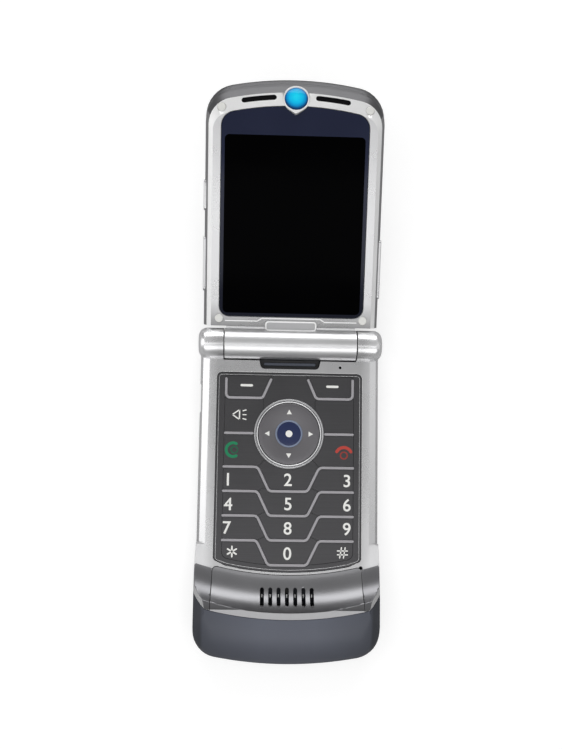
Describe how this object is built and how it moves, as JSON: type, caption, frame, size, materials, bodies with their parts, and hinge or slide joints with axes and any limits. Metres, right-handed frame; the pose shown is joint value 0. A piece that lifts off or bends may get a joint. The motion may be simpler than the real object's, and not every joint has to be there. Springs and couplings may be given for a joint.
{
  "type": "flip phone",
  "caption": "Slim folding mobile phone lying open on its back, with an etched keypad, a tall inner screen and a raised curved chin.",
  "frame": {"origin": "on the back rest face, straight below the hinge axis, midway across", "axes": "+X to the right across the phone, +Y from the hinge towards the lid's tip, +Z out of the keypad"},
  "size_m": [0.054, 0.167, 0.0255],
  "materials": {
    "satin_silver": "satin silver paint",
    "cast_silver": "satin metal",
    "chin_plastic": "soft matte dark blue-grey",
    "rear_plastic": "matte dark grey",
    "keypad_metal": "dark etched metal",
    "rib_rubber": "light grey rubber",
    "chrome_trim": "bright",
    "film": "translucent film",
    "circuit": "solder resist",
    "tin": "tin plate",
    "steel": "steel",
    "battery_wrap": "plastic case",
    "black_plastic": "black",
    "antenna_copper": "plated strip on its carrier",
    "door_metal": "anodised dark grey",
    "nav_metal": "etched grey metal",
    "navy": "glossy navy",
    "lens": "glossy dark lens",
    "lcd": "black glass",
    "jewel_blue": "clear blue dome",
    "bumper_grey": "pale grey rubber"
  },
  "bodies": {
    "base": {"base_frame": "satin_silver", "rear_housing": "rear_plastic", "chin_cover": "chin_plastic", "mic_cover": "satin_silver", "keypad_plate": "keypad_metal", "key_web": "rib_rubber", "nav_trim": "chrome_trim", "dome_sheet": "film", "main_board": "circuit", "shield_cans": "tin", "usb_port": "steel", "battery": "battery_wrap", "loudspeaker": "black_plastic", "microphone": "tin", "antenna": "antenna_copper", "flex_cover": "black_plastic", "hinge_cam": "steel", "hinge_bush": "steel", "base_screws": "steel"},
    "lid": {"lid_frame": "satin_silver", "lid_cover": "cast_silver", "hinge_barrel": "satin_silver", "hinge_cartridge": "steel", "main_lens": "lens", "display_module": "lcd", "lid_board": "circuit", "outer_lens": "lens", "camera_module": "black_plastic", "earpiece": "black_plastic", "jewel": "jewel_blue", "jewel_bezel": "chrome_trim", "bumpers": "bumper_grey", "lid_tab": "bumper_grey", "vibration_motor": "steel"},
    "soft_key_left_body": {"soft_key_left": "keypad_metal"},
    "soft_key_right_body": {"soft_key_right": "keypad_metal"},
    "speaker_key_body": {"speaker_key": "keypad_metal"},
    "back_key_body": {"back_key": "keypad_metal"},
    "send_key_body": {"send_key": "keypad_metal"},
    "end_key_body": {"end_key": "keypad_metal"},
    "select_key_body": {"select_key": "navy"},
    "key_1_body": {"key_1": "keypad_metal"},
    "key_2_body": {"key_2": "keypad_metal"},
    "key_3_body": {"key_3": "keypad_metal"},
    "key_4_body": {"key_4": "keypad_metal"},
    "key_5_body": {"key_5": "keypad_metal"},
    "key_6_body": {"key_6": "keypad_metal"},
    "key_7_body": {"key_7": "keypad_metal"},
    "key_8_body": {"key_8": "keypad_metal"},
    "key_9_body": {"key_9": "keypad_metal"},
    "key_star_body": {"key_star": "keypad_metal"},
    "key_0_body": {"key_0": "keypad_metal"},
    "key_hash_body": {"key_hash": "keypad_metal"},
    "nav_actuator_body": {"nav_actuator": "black_plastic"},
    "nav_ring_body": {"nav_ring": "nav_metal"},
    "battery_door_body": {"battery_door": "door_metal"},
    "door_latch_body": {"door_latch": "black_plastic"},
    "smart_key_body": {"smart_key": "satin_silver"},
    "volume_key_body": {"volume_key": "satin_silver"},
    "voice_key_body": {"voice_key": "satin_silver"}
  },
  "joints": [
    {"name": "lid_hinge", "type": "hinge", "parent": "base", "child": "lid", "pos_m": [0, 0, 0.00745], "axis": [1, 0, 0], "range_deg": [0, 164.6]},
    {"name": "soft_key_left_press", "type": "slide", "parent": "base", "child": "soft_key_left_body", "axis": [0, 0, -1], "range_m": [0, 0.00025], "stiffness_N_per_m": 1500},
    {"name": "soft_key_right_press", "type": "slide", "parent": "base", "child": "soft_key_right_body", "axis": [0, 0, -1], "range_m": [0, 0.00025], "stiffness_N_per_m": 1500},
    {"name": "speaker_key_press", "type": "slide", "parent": "base", "child": "speaker_key_body", "axis": [0, 0, -1], "range_m": [0, 0.00025], "stiffness_N_per_m": 1500},
    {"name": "back_key_press", "type": "slide", "parent": "base", "child": "back_key_body", "axis": [0, 0, -1], "range_m": [0, 0.00025], "stiffness_N_per_m": 1500},
    {"name": "send_key_press", "type": "slide", "parent": "base", "child": "send_key_body", "axis": [0, 0, -1], "range_m": [0, 0.00025], "stiffness_N_per_m": 1500},
    {"name": "end_key_press", "type": "slide", "parent": "base", "child": "end_key_body", "axis": [0, 0, -1], "range_m": [0, 0.00025], "stiffness_N_per_m": 1500},
    {"name": "select_key_press", "type": "slide", "parent": "base", "child": "select_key_body", "axis": [0, 0, -1], "range_m": [0, 0.00025], "stiffness_N_per_m": 1500},
    {"name": "key_1_press", "type": "slide", "parent": "base", "child": "key_1_body", "axis": [0, 0, -1], "range_m": [0, 0.00025], "stiffness_N_per_m": 1500},
    {"name": "key_2_press", "type": "slide", "parent": "base", "child": "key_2_body", "axis": [0, 0, -1], "range_m": [0, 0.00025], "stiffness_N_per_m": 1500},
    {"name": "key_3_press", "type": "slide", "parent": "base", "child": "key_3_body", "axis": [0, 0, -1], "range_m": [0, 0.00025], "stiffness_N_per_m": 1500},
    {"name": "key_4_press", "type": "slide", "parent": "base", "child": "key_4_body", "axis": [0, 0, -1], "range_m": [0, 0.00025], "stiffness_N_per_m": 1500},
    {"name": "key_5_press", "type": "slide", "parent": "base", "child": "key_5_body", "axis": [0, 0, -1], "range_m": [0, 0.00025], "stiffness_N_per_m": 1500},
    {"name": "key_6_press", "type": "slide", "parent": "base", "child": "key_6_body", "axis": [0, 0, -1], "range_m": [0, 0.00025], "stiffness_N_per_m": 1500},
    {"name": "key_7_press", "type": "slide", "parent": "base", "child": "key_7_body", "axis": [0, 0, -1], "range_m": [0, 0.00025], "stiffness_N_per_m": 1500},
    {"name": "key_8_press", "type": "slide", "parent": "base", "child": "key_8_body", "axis": [0, 0, -1], "range_m": [0, 0.00025], "stiffness_N_per_m": 1500},
    {"name": "key_9_press", "type": "slide", "parent": "base", "child": "key_9_body", "axis": [0, 0, -1], "range_m": [0, 0.00025], "stiffness_N_per_m": 1500},
    {"name": "key_star_press", "type": "slide", "parent": "base", "child": "key_star_body", "axis": [0, 0, -1], "range_m": [0, 0.00025], "stiffness_N_per_m": 1500},
    {"name": "key_0_press", "type": "slide", "parent": "base", "child": "key_0_body", "axis": [0, 0, -1], "range_m": [0, 0.00025], "stiffness_N_per_m": 1500},
    {"name": "key_hash_press", "type": "slide", "parent": "base", "child": "key_hash_body", "axis": [0, 0, -1], "range_m": [0, 0.00025], "stiffness_N_per_m": 1500},
    {"name": "nav_left_right", "type": "hinge", "parent": "base", "child": "nav_actuator_body", "pos_m": [0, -0.0264, 0.006], "axis": [0, 1, 0], "range_deg": [-1.6, 1.6], "stiffness_Nm_per_rad": 0.2},
    {"name": "nav_up_down", "type": "hinge", "parent": "nav_actuator_body", "child": "nav_ring_body", "pos_m": [0, -0.0264, 0.006], "axis": [1, 0, 0], "range_deg": [-1.6, 1.6], "stiffness_Nm_per_rad": 0.2},
    {"name": "battery_door_swing", "type": "hinge", "parent": "base", "child": "battery_door_body", "pos_m": [0, -0.017, 0.00008], "axis": [1, 0, 0], "range_deg": [0, 25]},
    {"name": "door_latch_press", "type": "slide", "parent": "base", "child": "door_latch_body", "axis": [0, -1, 0], "range_m": [0, 0.001], "stiffness_N_per_m": 300},
    {"name": "smart_key_press", "type": "slide", "parent": "lid", "child": "smart_key_body", "axis": [1, 0, 0], "range_m": [0, 0.00035], "stiffness_N_per_m": 1500},
    {"name": "voice_key_press", "type": "slide", "parent": "lid", "child": "voice_key_body", "axis": [-1, 0, 0], "range_m": [0, 0.00035], "stiffness_N_per_m": 1500},
    {"name": "volume_key_rock", "type": "hinge", "parent": "lid", "child": "volume_key_body", "pos_m": [-0.0245, 0.02328, 0.01028], "axis": [0, -0.2656, 0.9641], "range_deg": [-1.5, 1.5], "stiffness_Nm_per_rad": 0.2}
  ]
}
